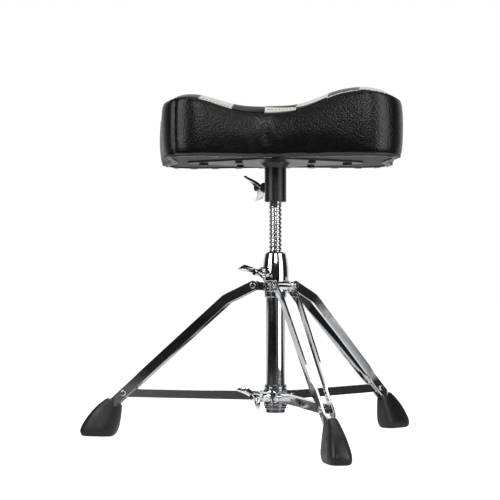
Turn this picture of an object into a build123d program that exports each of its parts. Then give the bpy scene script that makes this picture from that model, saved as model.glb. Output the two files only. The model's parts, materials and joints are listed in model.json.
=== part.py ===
from build123d import *

import os
from math import atan2, cos, degrees, radians, sin

# A drum throne: a padded saddle seat on a screwed spindle, over a folding tripod of flat bars.
# Millimetres, +Z up. It is modelled about the axis of its centre tube, with the floor at z = 0,
# and every piece is then moved so that the origin is the bottom centre of the throne's box.

# ---------------------------------------------------------------- driving dimensions
SEAT_Z = 410.0  # underside of the seat's board and hem
TUBE_R = 14.3
TUBE_WALL = 1.6
TUBE_TOP_Z = 234.0
SPINDLE_R = 9.525

RUN_FIT = 0.07  # radial clearance of a shaft that turns or slides in its bore
GAP = 0.35  # clearance between faces of different bodies

# tripod legs: each is two flat bars on a rivet at the upper collar
LEG_NAMES = ("front", "right", "left")
LEG_TURN = 16.5  # the tripod is turned this far from square with the seat
LEG_PIVOT_R = TUBE_R + 17.4
LEG_PIVOT_Z = TUBE_TOP_Z - 5.3
LEG_BEND_R = LEG_PIVOT_R + 41.7
LEG_BEND_Z = LEG_PIVOT_Z - 20.2
LEG_END_R = 263.0
LEG_END_Z = 40.8
LUG_R = 6.2  # of the collar's lug, round the leg's rivet
BAR_WIDTH = 14.0
BAR_THICK = 3.0
BAR_BEND_RADIUS = 24.0
BAR_GAP_PIVOT = 9.0  # from the leg's middle plane to a bar's inner face, at the collar
BAR_GAP_SHOULDER = 10.5
BAR_GAP_FOOT = 3.0
RIVET_R = 3.0
RIVET_HEAD_R = 4.4
RIVET_HEAD = 1.9

# struts: a channel from the lower collar to the rivet of each leg
STRUT_PIVOT_R = TUBE_R + 14.7
STRUT_OUTER_R = LEG_END_R - 29.0
STRUT_HEIGHT = 13.0
STRUT_WIDTH = 9.4
STRUT_WALL = 1.6
STRUT_EAR = 15.0
STRUT_END_TAPER = 1.0  # the outer ends are ground narrower by this on each side
STRUT_PIN_R = 2.5
STRUT_PIN_HEAD_R = 4.0
STRUT_PIN_HEAD = 1.4
BUSH_R = 5.2
CHEEK_R = 5.8  # of the lower collar's cheeks, round the strut's pin
CHEEK_WALL = 2.8
BAR_GAP_STRUT = STRUT_WIDTH / 2 + 0.8
BAR_GAP_LOWER = BAR_GAP_STRUT + 2.9

# rubber feet
FOOT_IN_R = LEG_END_R - 11.0
FOOT_OUT_R = LEG_END_R + 38.0
FOOT_TOP_Z = LEG_END_Z + 16.2
FOOT_HALF = 16.8
FOOT_TOP_HALF = 9.0


def leg_line_z(radius):
    """Height of a leg's straight stretch at this distance from the column."""
    fall = (LEG_BEND_Z - LEG_END_Z) / (LEG_END_R - LEG_BEND_R)
    return LEG_BEND_Z - fall * (radius - LEG_BEND_R)


STRUT_Z = leg_line_z(STRUT_OUTER_R)  # the struts lie level when the legs are open

# collars
COLLAR_R = TUBE_R + 4.2
COLLAR_BOTTOM_Z = TUBE_TOP_Z - 13.0
SKIRT_R = TUBE_R + 2.1
SKIRT_Z = TUBE_TOP_Z - 22.5
SET_SCREW_R = 2.5
SET_SCREW_HEAD_R = 4.2
SET_SCREW_HEAD = 2.2
SET_SCREW_HEX_R = 1.7
SET_SCREW_Z = COLLAR_BOTTOM_Z + 6.5
LOW_COLLAR_Z = STRUT_Z - 14.2
LOW_COLLAR_HEIGHT = 31.2
LOW_COLLAR_R = TUBE_R + 2.7
LINER_WALL = 1.4
TUBE_FOOT_Z = LOW_COLLAR_Z - 5.2
END_RING_R = TUBE_R + 1.6
END_RING_HEIGHT = 4.0
END_CAP_R = TUBE_R - 0.4
END_CAP_Z = TUBE_FOOT_Z - 5.8
END_CAP_PLUG = 5.0

# height nut and spindle
NUT_TOP_R = SPINDLE_R + 6.375
NUT_FOOT_R = SPINDLE_R + 9.875
NUT_LINER_R = SPINDLE_R + 3.475
NUT_HEIGHT = 42.5
NUT_ROOF = 3.0
THREAD_PITCH = 6.35
THREAD_DEPTH = 1.5
THREAD_COUNT = 31
SPINDLE_FOOT_Z = TUBE_TOP_Z - 109.0
SPINDLE_TOP_Z = SEAT_Z - 15.0
THREAD_TOP_Z = SPINDLE_TOP_Z - 48.0
STOP_LEDGE = 1.0
STOP_HEIGHT = 6.0
STOP_Z = SPINDLE_FOOT_Z + 3.0
BUSH_LENGTH = 20.0
BUSH_FLANGE = 1.0

# seat
PLATE_THICK = 2.6
PLATE_LENGTH = 290.0
PLATE_DEPTH = 172.0
PLATE_TIP_RADIUS = 16.0
HEM_THICK = 1.6
HEM_WIDTH = 15.0
BOARD_THICK = 12.0
COVER_THICK = 2.0
FOAM_FIT = 0.4
SEAM_DROP = 13.0
STAPLE_COUNT = 30
STAPLE_THICK = 0.7
STAPLE_WIDTH = 1.2
STAPLE_LENGTH = 11.0
SOCKET_R = SPINDLE_R + 6.475
SOCKET_Z = THREAD_TOP_Z + 5.0
SOCKET_FLANGE_R = SOCKET_R + 7.0
BOLT_X = 53.0
BOLT_Y = 42.0
TIP_BOLT_X = 106.0
PLATE_BOLT_R = 3.0
PLATE_BOLT_HEAD = 3.0
PLATE_BOLT_HEAD_R = 5.4
TIP_BOLT_HEAD_R = 7.0
T_NUT_WALL = 1.2
DRIVER_SLOT = 1.2
# plan of the saddle as (x, y, corner radius): four lobes, a waist along each side, a notch at each end
SADDLE = [
    (-15, -103, 120),
    (190, -133, 52),
    (171, 2, 40),
    (190, 122, 50),
    (10, 107, 130),
    (-199, 142, 56),
    (-157, 4, 40),
    (-166, -134, 50),
]
# how far the saddle's top stands above the hem along its length
SADDLE_RISE = [(-205, 78), (-168, 87), (-128, 94), (-92, 88), (-50, 76), (-5, 74), (40, 80), (80, 96),
               (122, 103), (160, 98), (205, 80)]
SADDLE_TOP = [(x, SEAT_Z + rise) for x, rise in SADDLE_RISE]

# wing bolts: azimuth, hub radius and the turn of the wings at rest
BOLT_R = 4.0
WING_SPAN = 44.0
WING_THICK = 4.2
HUB_R = 5.6
BOSS_R = 7.5
PAD_THICK = 2.0
SEAT_BOLT_AZIMUTH = 140.0
SEAT_BOLT_Z = SOCKET_Z + 22.0
SEAT_HUB_R = SPINDLE_R + 22.475
SEAT_ROLL = 47.0
COLUMN_BOLT_AZIMUTH = 210.0 + LEG_TURN  # of the nut's bolt and the lower collar's, between two legs
NUT_BOLT_RISE = 13.0
NUT_HUB_R = SPINDLE_R + 28.475
NUT_ROLL = -18.0
LOW_HUB_R = TUBE_R + 29.7
LOW_ROLL = -38.0

AXIS_PLANE = Plane.XZ


def leg_azimuth(name):
    """Compass angle of a leg, from +X towards +Y."""
    return {"front": -90.0, "right": 30.0, "left": 150.0}[name] + LEG_TURN


def radial_plane(azimuth):
    """Upright plane through the column: local x runs outwards, local y is up."""
    a = radians(azimuth)
    return Plane(origin=(0, 0, 0), x_dir=(cos(a), sin(a), 0), z_dir=(sin(a), -cos(a), 0))


def plan_plane(azimuth, height=0.0):
    """Level plane with its local x running outwards along a leg."""
    a = radians(azimuth)
    return Plane(origin=(0, 0, height), x_dir=(cos(a), sin(a), 0), z_dir=(0, 0, 1))


def outward_plane(azimuth, radius, height):
    """Plane across a radial bolt, facing away from the column."""
    a = radians(azimuth)
    return Plane(
        origin=(radius * cos(a), radius * sin(a), height),
        x_dir=(-sin(a), cos(a), 0),
        z_dir=(cos(a), sin(a), 0),
    )


pieces = {}


# ---------------------------------------------------------------- centre column
def turned(points):
    """A solid of revolution about the column, from its outline of (radius, height) points."""
    with BuildPart() as body:
        with BuildSketch(AXIS_PLANE):
            with BuildLine():
                Polyline(*points, close=True)
            make_face()
        revolve(axis=Axis.Z)
    return body.part


pieces["base_tube"] = turned([
    (TUBE_R - TUBE_WALL, TUBE_FOOT_Z),
    (TUBE_R, TUBE_FOOT_Z),
    (TUBE_R, TUBE_TOP_Z),
    (TUBE_R - TUBE_WALL, TUBE_TOP_Z),
])

collar_top_z = TUBE_TOP_Z + BUSH_FLANGE
pieces["guide_bush"] = turned([
    (SPINDLE_R + RUN_FIT, TUBE_TOP_Z - BUSH_LENGTH),
    (TUBE_R - TUBE_WALL, TUBE_TOP_Z - BUSH_LENGTH),
    (TUBE_R - TUBE_WALL, TUBE_TOP_Z),
    (COLLAR_R - 1.5, TUBE_TOP_Z),
    (COLLAR_R - 1.5, collar_top_z),
    (SPINDLE_R + RUN_FIT, collar_top_z),
])

ring_foot_z = LOW_COLLAR_Z - 0.4 - END_RING_HEIGHT
pieces["end_ring"] = turned([
    (TUBE_R, ring_foot_z + 0.6),
    (TUBE_R + 0.6, ring_foot_z),
    (END_RING_R - 0.5, ring_foot_z),
    (END_RING_R, ring_foot_z + 0.5),
    (END_RING_R, ring_foot_z + END_RING_HEIGHT - 0.5),
    (END_RING_R - 0.5, ring_foot_z + END_RING_HEIGHT),
    (TUBE_R, ring_foot_z + END_RING_HEIGHT),
])

pieces["end_cap"] = turned([
    (0, END_CAP_Z),
    (END_CAP_R - 1.2, END_CAP_Z),
    (END_CAP_R, END_CAP_Z + 1.2),
    (END_CAP_R, TUBE_FOOT_Z),
    (TUBE_R - TUBE_WALL, TUBE_FOOT_Z),
    (TUBE_R - TUBE_WALL, TUBE_FOOT_Z + END_CAP_PLUG),
    (0, TUBE_FOOT_Z + END_CAP_PLUG),
])

with BuildPart() as upper_collar:
    with BuildSketch(AXIS_PLANE):
        with BuildLine():
            Polyline(
                (TUBE_R, SKIRT_Z),
                (SKIRT_R - 0.8, SKIRT_Z),
                (SKIRT_R, SKIRT_Z + 0.8),
                (SKIRT_R, COLLAR_BOTTOM_Z - 1),
                (COLLAR_R, COLLAR_BOTTOM_Z),
                (COLLAR_R, TUBE_TOP_Z - 1),
                (COLLAR_R - 1, TUBE_TOP_Z),
                (TUBE_R, TUBE_TOP_Z),
                close=True,
            )
        make_face()
    revolve(axis=Axis.Z)
    for name in LEG_NAMES:
        # a lug between each pair of bars, rounded about the leg's rivet
        with BuildSketch(radial_plane(leg_azimuth(name))):
            with Locations((LEG_PIVOT_R, LEG_PIVOT_Z)):
                Circle(LUG_R)
            with BuildLine():
                Polyline(
                    (TUBE_R + 1, COLLAR_BOTTOM_Z + 0.6),
                    (LEG_PIVOT_R, LEG_PIVOT_Z - LUG_R),
                    (LEG_PIVOT_R, TUBE_TOP_Z),
                    (TUBE_R + 1, TUBE_TOP_Z - 0.4),
                    close=True,
                )
            make_face()
            with Locations((LEG_PIVOT_R, LEG_PIVOT_Z)):
                Circle(RIVET_R, mode=Mode.SUBTRACT)
        extrude(amount=BAR_GAP_PIVOT - GAP, both=True)
    # threaded holes of the set screws, between the lugs
    for name in LEG_NAMES:
        with BuildSketch(outward_plane(leg_azimuth(name) + 60, TUBE_R, SET_SCREW_Z)):
            Circle(SET_SCREW_R)
        extrude(amount=COLLAR_R, mode=Mode.SUBTRACT)
pieces["upper_collar"] = upper_collar.part

with BuildPart() as collar_screws:
    for name in LEG_NAMES:
        with BuildSketch(outward_plane(leg_azimuth(name) + 60, TUBE_R, SET_SCREW_Z)):
            Circle(SET_SCREW_R)
        extrude(amount=COLLAR_R - TUBE_R + 0.4)
        with BuildSketch(outward_plane(leg_azimuth(name) + 60, COLLAR_R + 0.2, SET_SCREW_Z)):
            Circle(SET_SCREW_HEAD_R)
            RegularPolygon(SET_SCREW_HEX_R, 6, mode=Mode.SUBTRACT)
        extrude(amount=SET_SCREW_HEAD)
pieces["collar_screws"] = collar_screws.part


def headed_pin(plane, radius, half_length, head_radius, head_height):
    """A rivet through a joint, lying along the plane's normal, with a domed head at each end."""
    with BuildPart() as pin:
        with BuildSketch(plane):
            Circle(radius)
        extrude(amount=half_length, both=True)
        for side in (1, -1):
            head = Plane(origin=plane.origin + plane.z_dir * side * half_length, x_dir=plane.x_dir,
                         z_dir=plane.z_dir * side)
            with BuildSketch(head):
                Circle(head_radius)
            extrude(amount=head_height)
        along = Axis(plane.origin, plane.z_dir)
        fillet(pin.faces().sort_by(along)[0].edges(), head_height * 0.7)
        fillet(pin.faces().sort_by(along)[-1].edges(), head_height * 0.7)
    return pin.part


def at_radial(azimuth, radius, height):
    """The upright radial plane moved to a joint, so that its normal is the joint's axis."""
    flat = radial_plane(azimuth)
    return Plane(origin=flat.x_dir * radius + Vector(0, 0, height), x_dir=flat.x_dir, z_dir=flat.z_dir)


pivot_pins = [
    headed_pin(at_radial(leg_azimuth(name), LEG_PIVOT_R, LEG_PIVOT_Z), RIVET_R,
               BAR_GAP_PIVOT + BAR_THICK + GAP, RIVET_HEAD_R, RIVET_HEAD)
    for name in LEG_NAMES
]
pieces["leg_pivot_rivets"] = Part() + pivot_pins


# ---------------------------------------------------------------- lower collar
low_top_z = LOW_COLLAR_Z + LOW_COLLAR_HEIGHT
liner_bore = TUBE_R + RUN_FIT
liner_out = liner_bore + LINER_WALL
with BuildPart() as lower_collar:
    with BuildSketch(AXIS_PLANE):
        with BuildLine():
            Polyline(
                (liner_out, LOW_COLLAR_Z),
                (LOW_COLLAR_R + 0.6, LOW_COLLAR_Z),
                (LOW_COLLAR_R + 0.6, LOW_COLLAR_Z + 1.8),
                (LOW_COLLAR_R, LOW_COLLAR_Z + 2.4),
                (LOW_COLLAR_R, low_top_z - 6),
                (LOW_COLLAR_R - 0.7, low_top_z - 5.4),
                (LOW_COLLAR_R - 0.7, low_top_z - 4.6),
                (LOW_COLLAR_R - 0.1, low_top_z - 4),
                (LOW_COLLAR_R - 0.1, low_top_z - 0.8),
                (LOW_COLLAR_R - 0.9, low_top_z),
                (liner_out, low_top_z),
                close=True,
            )
        make_face()
    revolve(axis=Axis.Z)
    for name in LEG_NAMES:
        # two cheeks hold each strut between them
        with BuildSketch(radial_plane(leg_azimuth(name))):
            with Locations((STRUT_PIVOT_R, STRUT_Z)):
                Circle(CHEEK_R)
            with BuildLine():
                Polyline(
                    (liner_out + 0.4, STRUT_Z - 9),
                    (STRUT_PIVOT_R - 2, STRUT_Z - CHEEK_R),
                    (STRUT_PIVOT_R, STRUT_Z - CHEEK_R),
                    (STRUT_PIVOT_R, STRUT_Z + CHEEK_R),
                    (STRUT_PIVOT_R - 2, STRUT_Z + CHEEK_R),
                    (liner_out + 0.4, STRUT_Z + 9),
                    close=True,
                )
            make_face()
            with Locations((STRUT_PIVOT_R, STRUT_Z)):
                Circle(STRUT_PIN_R, mode=Mode.SUBTRACT)
        extrude(amount=STRUT_WIDTH / 2 + GAP + CHEEK_WALL, both=True)
        with BuildSketch(radial_plane(leg_azimuth(name))):
            with Locations((LOW_COLLAR_R + 25.8, STRUT_Z)):
                Rectangle(50, 30)
        extrude(amount=STRUT_WIDTH / 2 + GAP, both=True, mode=Mode.SUBTRACT)
    # boss of the wing bolt, between the front and left struts
    with BuildSketch(outward_plane(COLUMN_BOLT_AZIMUTH, liner_out + 0.4, STRUT_Z)):
        Circle(BOSS_R)
    extrude(amount=17)
    with BuildSketch(outward_plane(COLUMN_BOLT_AZIMUTH, TUBE_R, STRUT_Z)):
        Circle(BOLT_R + RUN_FIT)
    extrude(amount=40, mode=Mode.SUBTRACT)
pieces["lower_collar"] = lower_collar.part

with BuildPart() as collar_liner:
    with BuildSketch(AXIS_PLANE):
        with BuildLine():
            Polyline(
                (liner_bore, LOW_COLLAR_Z + 0.5),
                (liner_out, LOW_COLLAR_Z + 0.5),
                (liner_out, low_top_z - 0.5),
                (liner_bore, low_top_z - 0.5),
                close=True,
            )
        make_face()
    revolve(axis=Axis.Z)
    with BuildSketch(outward_plane(COLUMN_BOLT_AZIMUTH, TUBE_R, STRUT_Z)):
        Circle(BOLT_R + RUN_FIT)
    extrude(amount=10, mode=Mode.SUBTRACT)
pieces["collar_liner"] = collar_liner.part

cheek_out = STRUT_WIDTH / 2 + GAP + CHEEK_WALL
strut_pins = [
    headed_pin(at_radial(leg_azimuth(name), STRUT_PIVOT_R, STRUT_Z), STRUT_PIN_R, cheek_out, STRUT_PIN_HEAD_R,
               STRUT_PIN_HEAD)
    for name in LEG_NAMES
]
pieces["strut_pivot_rivets"] = Part() + strut_pins


# ---------------------------------------------------------------- legs and struts
def leg_bar(azimuth, side):
    """One flat bar of a leg: its side shape crossed with its shape in plan."""
    inner = [
        (LEG_PIVOT_R - 15, BAR_GAP_PIVOT),
        (LEG_PIVOT_R + 12, BAR_GAP_PIVOT),
        (LEG_BEND_R - 6, BAR_GAP_SHOULDER),
        (LEG_BEND_R + 8, BAR_GAP_SHOULDER),
        (STRUT_OUTER_R - 30, BAR_GAP_LOWER),
        (STRUT_OUTER_R - 17, BAR_GAP_STRUT),
        (STRUT_OUTER_R + 14.5, BAR_GAP_STRUT),
        (STRUT_OUTER_R + 21.5, BAR_GAP_FOOT),
        (LEG_END_R + 20, BAR_GAP_FOOT),
    ]
    outer = [(r, w + BAR_THICK) for r, w in reversed(inner)]
    with BuildPart() as bar:
        with BuildSketch(radial_plane(azimuth)):
            with BuildLine():
                FilletPolyline(
                    (LEG_PIVOT_R, LEG_PIVOT_Z),
                    (LEG_BEND_R, LEG_BEND_Z),
                    (LEG_END_R, LEG_END_Z),
                    radius=BAR_BEND_RADIUS,
                )
                offset(amount=BAR_WIDTH / 2, side=Side.BOTH)
            make_face()
            with Locations((LEG_PIVOT_R, LEG_PIVOT_Z)):
                Circle(RIVET_R + RUN_FIT, mode=Mode.SUBTRACT)
            with Locations((STRUT_OUTER_R, STRUT_Z)):
                Circle(RIVET_R, mode=Mode.SUBTRACT)
        extrude(amount=30, both=True)
        with BuildSketch(plan_plane(azimuth)):
            with BuildLine():
                Polyline(*[(r, -side * w) for r, w in inner + outer], close=True)
            make_face()
        extrude(amount=300, mode=Mode.INTERSECT)
    return bar.part


def leg_foot(azimuth, bars):
    """A rubber foot: a leaning wedge with a flat sole, moulded round the ends of the two bars."""
    with BuildPart() as foot:
        with BuildSketch(radial_plane(azimuth)) as outline:
            with BuildLine():
                Polyline(
                    (FOOT_IN_R, 0),
                    (FOOT_OUT_R - 4, 0),
                    (FOOT_OUT_R + 5, 9),
                    (FOOT_OUT_R - 11, 31),
                    (FOOT_OUT_R - 34, FOOT_TOP_Z + 1),
                    (FOOT_IN_R - 9, FOOT_TOP_Z - 1),
                    (FOOT_IN_R - 12, 44),
                    (FOOT_IN_R - 6, 9),
                    close=True,
                )
            make_face()
            fillet(outline.vertices().filter_by_position(Axis.Z, 5, 70), 3.5)
        extrude(amount=FOOT_HALF, both=True)
        across = radial_plane(azimuth + 90)
        with BuildSketch(across) as front:
            with BuildLine():
                Polyline(
                    (-FOOT_HALF + 3, 0),
                    (FOOT_HALF - 3, 0),
                    (FOOT_HALF, 7),
                    (FOOT_TOP_HALF, FOOT_TOP_Z + 3),
                    (-FOOT_TOP_HALF, FOOT_TOP_Z + 3),
                    (-FOOT_HALF, 7),
                    close=True,
                )
            make_face()
            fillet(front.vertices().filter_by_position(Axis.Z, 5, 70), 4.0)
        extrude(amount=340, both=True, mode=Mode.INTERSECT)
    return foot.part - bars


def rivet_stubs(azimuth):
    """The strut rivet's two ends, each set in its own bar and flush with the bar's inner face."""
    stubs = Part()
    for side in (1, -1):
        joint = at_radial(azimuth, STRUT_OUTER_R, STRUT_Z)
        face = Plane(origin=joint.origin + joint.z_dir * side * BAR_GAP_STRUT, x_dir=joint.x_dir,
                     z_dir=joint.z_dir * side)
        with BuildPart() as stub:
            with BuildSketch(face):
                Circle(RIVET_R)
            extrude(amount=BAR_THICK)
            with BuildSketch(face.offset(BAR_THICK)):
                Circle(RIVET_HEAD_R)
            extrude(amount=RIVET_HEAD)
            fillet(stub.faces().sort_by(Axis(face.origin, face.z_dir))[-1].edges(), RIVET_HEAD * 0.7)
        stubs += stub.part
    return stubs


def strut_channel(azimuth):
    """A strut: a channel open underneath, with two pierced ears at each end."""
    middle_r = (STRUT_PIVOT_R + STRUT_OUTER_R) / 2
    length = STRUT_OUTER_R - STRUT_PIVOT_R
    with BuildPart() as strut:
        with BuildSketch(radial_plane(azimuth)):
            with Locations((middle_r, STRUT_Z)):
                SlotCenterToCenter(length, STRUT_HEIGHT)
            with Locations((STRUT_PIVOT_R, STRUT_Z)):
                Circle(STRUT_PIN_R + RUN_FIT, mode=Mode.SUBTRACT)
            with Locations((STRUT_OUTER_R, STRUT_Z)):
                Circle(RIVET_R, mode=Mode.SUBTRACT)
        extrude(amount=STRUT_WIDTH / 2, both=True)
        with BuildSketch(radial_plane(azimuth)):
            with Locations((middle_r, STRUT_Z - STRUT_WALL)):
                Rectangle(length + 40, STRUT_HEIGHT)
            for end_r in (STRUT_PIVOT_R, STRUT_OUTER_R):
                with Locations((end_r, STRUT_Z)):
                    Rectangle(2 * STRUT_EAR, 2 * STRUT_HEIGHT)
        extrude(amount=STRUT_WIDTH / 2 - STRUT_WALL, both=True, mode=Mode.SUBTRACT)
        # the outer end is narrowed, so that it clears the bars where they close in on the foot
        start = STRUT_PIVOT_R - STRUT_HEIGHT
        tip = STRUT_OUTER_R + STRUT_HEIGHT / 2
        half = STRUT_WIDTH / 2
        with BuildSketch(plan_plane(azimuth)):
            with BuildLine():
                Polyline(
                    (start, -half),
                    (STRUT_OUTER_R, -half),
                    (tip, STRUT_END_TAPER - half),
                    (tip, half - STRUT_END_TAPER),
                    (STRUT_OUTER_R, half),
                    (start, half),
                    close=True,
                )
            make_face()
        extrude(amount=STRUT_Z + STRUT_HEIGHT, mode=Mode.INTERSECT)
    return strut.part


def strut_bushes(azimuth):
    """Spacer bushes between the ears, one at each end of a strut."""
    with BuildPart() as bushes:
        with BuildSketch(radial_plane(azimuth)):
            for end_r, bore in ((STRUT_PIVOT_R, STRUT_PIN_R + RUN_FIT), (STRUT_OUTER_R, RIVET_R)):
                with Locations((end_r, STRUT_Z)):
                    Circle(BUSH_R)
                    Circle(bore, mode=Mode.SUBTRACT)
        extrude(amount=STRUT_WIDTH / 2 - STRUT_WALL, both=True)
    return bushes.part


for name in LEG_NAMES:
    azimuth = leg_azimuth(name)
    bars = [leg_bar(azimuth, side) for side in (1, -1)]
    pieces[f"{name}_leg_bar_a"] = bars[0]
    pieces[f"{name}_leg_bar_b"] = bars[1]
    pieces[f"{name}_leg_foot"] = leg_foot(azimuth, bars)
    pieces[f"{name}_leg_rivets"] = rivet_stubs(azimuth)
    pieces[f"{name}_strut"] = strut_channel(azimuth)
    pieces[f"{name}_strut_bushes"] = strut_bushes(azimuth)


# ---------------------------------------------------------------- height nut and spindle
nut_foot_z = collar_top_z + GAP
nut_top_z = nut_foot_z + NUT_HEIGHT
nut_bolt_z = nut_foot_z + NUT_BOLT_RISE
with BuildPart() as height_nut:
    with BuildSketch(AXIS_PLANE):
        with BuildLine():
            Polyline((NUT_LINER_R, nut_foot_z), (NUT_FOOT_R - 0.8, nut_foot_z), (NUT_FOOT_R, nut_foot_z + 0.8))
            ThreePointArc(
                (NUT_FOOT_R, nut_foot_z + 0.8),
                ((NUT_FOOT_R + NUT_TOP_R) / 2 + 1.1, nut_foot_z + NUT_HEIGHT * 0.55),
                (NUT_TOP_R, nut_top_z - 2.2),
            )
            Polyline(
                (NUT_TOP_R, nut_top_z - 2.2),
                (NUT_TOP_R - 2.2, nut_top_z),
                (SPINDLE_R + 0.6, nut_top_z),
                (SPINDLE_R + 0.6, nut_top_z - NUT_ROOF),
                (NUT_LINER_R, nut_top_z - NUT_ROOF),
                (NUT_LINER_R, nut_foot_z),
            )
        make_face()
    revolve(axis=Axis.Z)
    with BuildSketch(outward_plane(COLUMN_BOLT_AZIMUTH, NUT_LINER_R + 0.5, nut_bolt_z)):
        Circle(BOSS_R)
    extrude(amount=14)
    with BuildSketch(outward_plane(COLUMN_BOLT_AZIMUTH, NUT_LINER_R - 2, nut_bolt_z)):
        Circle(BOLT_R + RUN_FIT)
    extrude(amount=40, mode=Mode.SUBTRACT)
pieces["height_nut"] = height_nut.part

with BuildPart() as nut_insert:
    with BuildSketch(AXIS_PLANE):
        with BuildLine():
            Polyline(
                (SPINDLE_R + RUN_FIT, nut_foot_z + 0.4),
                (NUT_LINER_R, nut_foot_z + 0.4),
                (NUT_LINER_R, nut_top_z - NUT_ROOF - 0.3),
                (SPINDLE_R + RUN_FIT, nut_top_z - NUT_ROOF - 0.3),
                close=True,
            )
        make_face()
    revolve(axis=Axis.Z)
    with BuildSketch(outward_plane(COLUMN_BOLT_AZIMUTH, SPINDLE_R - 2, nut_bolt_z)):
        Circle(BOLT_R + RUN_FIT)
    extrude(amount=20, mode=Mode.SUBTRACT)
pieces["nut_insert"] = nut_insert.part

thread_foot_z = THREAD_TOP_Z - THREAD_COUNT * THREAD_PITCH
with BuildPart() as spindle:
    with BuildSketch(AXIS_PLANE):
        outline = [(0, SPINDLE_FOOT_Z), (SPINDLE_R - 1, SPINDLE_FOOT_Z), (SPINDLE_R, SPINDLE_FOOT_Z + 1)]
        for turn in range(THREAD_COUNT):
            z = thread_foot_z + turn * THREAD_PITCH
            outline += [
                (SPINDLE_R, z),
                (SPINDLE_R - THREAD_DEPTH, z + 0.16 * THREAD_PITCH),
                (SPINDLE_R - THREAD_DEPTH, z + 0.48 * THREAD_PITCH),
                (SPINDLE_R, z + 0.64 * THREAD_PITCH),
            ]
        outline += [(SPINDLE_R, SPINDLE_TOP_Z - 1), (SPINDLE_R - 1, SPINDLE_TOP_Z), (0, SPINDLE_TOP_Z)]
        with BuildLine():
            Polyline(*outline, close=True)
        make_face()
    revolve(axis=Axis.Z)
pieces["spindle"] = spindle.part

pieces["spindle_stop"] = turned([
    (SPINDLE_R, STOP_Z),
    (SPINDLE_R + STOP_LEDGE, STOP_Z),
    (SPINDLE_R + STOP_LEDGE, STOP_Z + STOP_HEIGHT),
    (SPINDLE_R, STOP_Z + STOP_HEIGHT),
])


# ---------------------------------------------------------------- seat
board_z = SEAT_Z + HEM_THICK
plate_z = board_z - PLATE_THICK
foam_z = board_z + BOARD_THICK


def saddle_plan():
    """The closed outline of the saddle, corners rounded into lobes and waists."""
    with BuildLine() as plan:
        FilletPolyline(*[(x, y) for x, y, r in SADDLE], radius=[r for x, y, r in SADDLE], close=True)
    return plan.wire()


def saddle_block(inset, bottom, drop):
    """The saddle as one block: its plan less an inset, from a level bottom up to its lowered top."""
    with BuildPart() as block:
        with BuildSketch(Plane.XY.offset(bottom)):
            make_face(saddle_plan())
            if inset:
                offset(amount=-inset, mode=Mode.REPLACE)
        extrude(amount=140)
        with BuildSketch(Plane.XZ):
            with BuildLine():
                Spline(*[(x, z - drop) for x, z in SADDLE_TOP])
                Polyline(
                    (SADDLE_TOP[-1][0], SADDLE_TOP[-1][1] - drop),
                    (SADDLE_TOP[-1][0], bottom - 5),
                    (SADDLE_TOP[0][0], bottom - 5),
                    (SADDLE_TOP[0][0], SADDLE_TOP[0][1] - drop),
                )
            make_face()
        extrude(amount=200, both=True, mode=Mode.INTERSECT)
    return block.part


with BuildPart() as seat_side_cover:
    add(saddle_block(0, board_z, SEAM_DROP))
    add(saddle_block(COVER_THICK, board_z - 1, 0), mode=Mode.SUBTRACT)
    # the hem, turned under the board
    with BuildSketch(Plane.XY.offset(SEAT_Z)):
        make_face(saddle_plan())
    extrude(amount=HEM_THICK)
    with BuildSketch(Plane.XY.offset(SEAT_Z - 1)):
        make_face(saddle_plan())
        offset(amount=-HEM_WIDTH, mode=Mode.REPLACE)
    extrude(amount=HEM_THICK + 1, mode=Mode.SUBTRACT)
pieces["seat_side_cover"] = seat_side_cover.part

with BuildPart() as seat_top_cover:
    add(saddle_block(0, board_z, 0))
    add(saddle_block(0, board_z - 1, SEAM_DROP), mode=Mode.SUBTRACT)
    add(saddle_block(COVER_THICK, board_z - 1, COVER_THICK), mode=Mode.SUBTRACT)
pieces["seat_top_cover"] = seat_top_cover.part

pieces["seat_foam"] = saddle_block(COVER_THICK + FOAM_FIT, foam_z, COVER_THICK + FOAM_FIT)

plate_bolt_spots = [(x, y) for x in (-BOLT_X, BOLT_X) for y in (-BOLT_Y, BOLT_Y)]
plate_bolt_spots += [(-TIP_BOLT_X, 0), (TIP_BOLT_X, 0)]
with BuildPart() as seat_board:
    with BuildSketch(Plane.XY.offset(board_z)):
        make_face(saddle_plan())
        offset(amount=-COVER_THICK - FOAM_FIT, mode=Mode.REPLACE)
        with Locations(*plate_bolt_spots):
            Circle(PLATE_BOLT_R + T_NUT_WALL, mode=Mode.SUBTRACT)
    extrude(amount=BOARD_THICK)
pieces["seat_board"] = seat_board.part

with BuildPart() as t_nuts:
    for x, y in plate_bolt_spots:
        with BuildSketch(Plane.XY.offset(board_z + 2)):
            with Locations((x, y)):
                Circle(PLATE_BOLT_R + T_NUT_WALL)
                Circle(PLATE_BOLT_R, mode=Mode.SUBTRACT)
        extrude(amount=BOARD_THICK - 2)
pieces["seat_t_nuts"] = t_nuts.part

with BuildPart() as seat_plate:
    with BuildSketch(Plane.XY.offset(plate_z)) as diamond:
        with BuildLine():
            Polyline(
                (-PLATE_LENGTH / 2, 0),
                (0, -PLATE_DEPTH / 2),
                (PLATE_LENGTH / 2, 0),
                (0, PLATE_DEPTH / 2),
                close=True,
            )
        make_face()
        fillet(diamond.vertices(), PLATE_TIP_RADIUS)
        with Locations(*plate_bolt_spots):
            Circle(PLATE_BOLT_R, mode=Mode.SUBTRACT)
    extrude(amount=PLATE_THICK)
pieces["seat_plate"] = seat_plate.part

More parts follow.
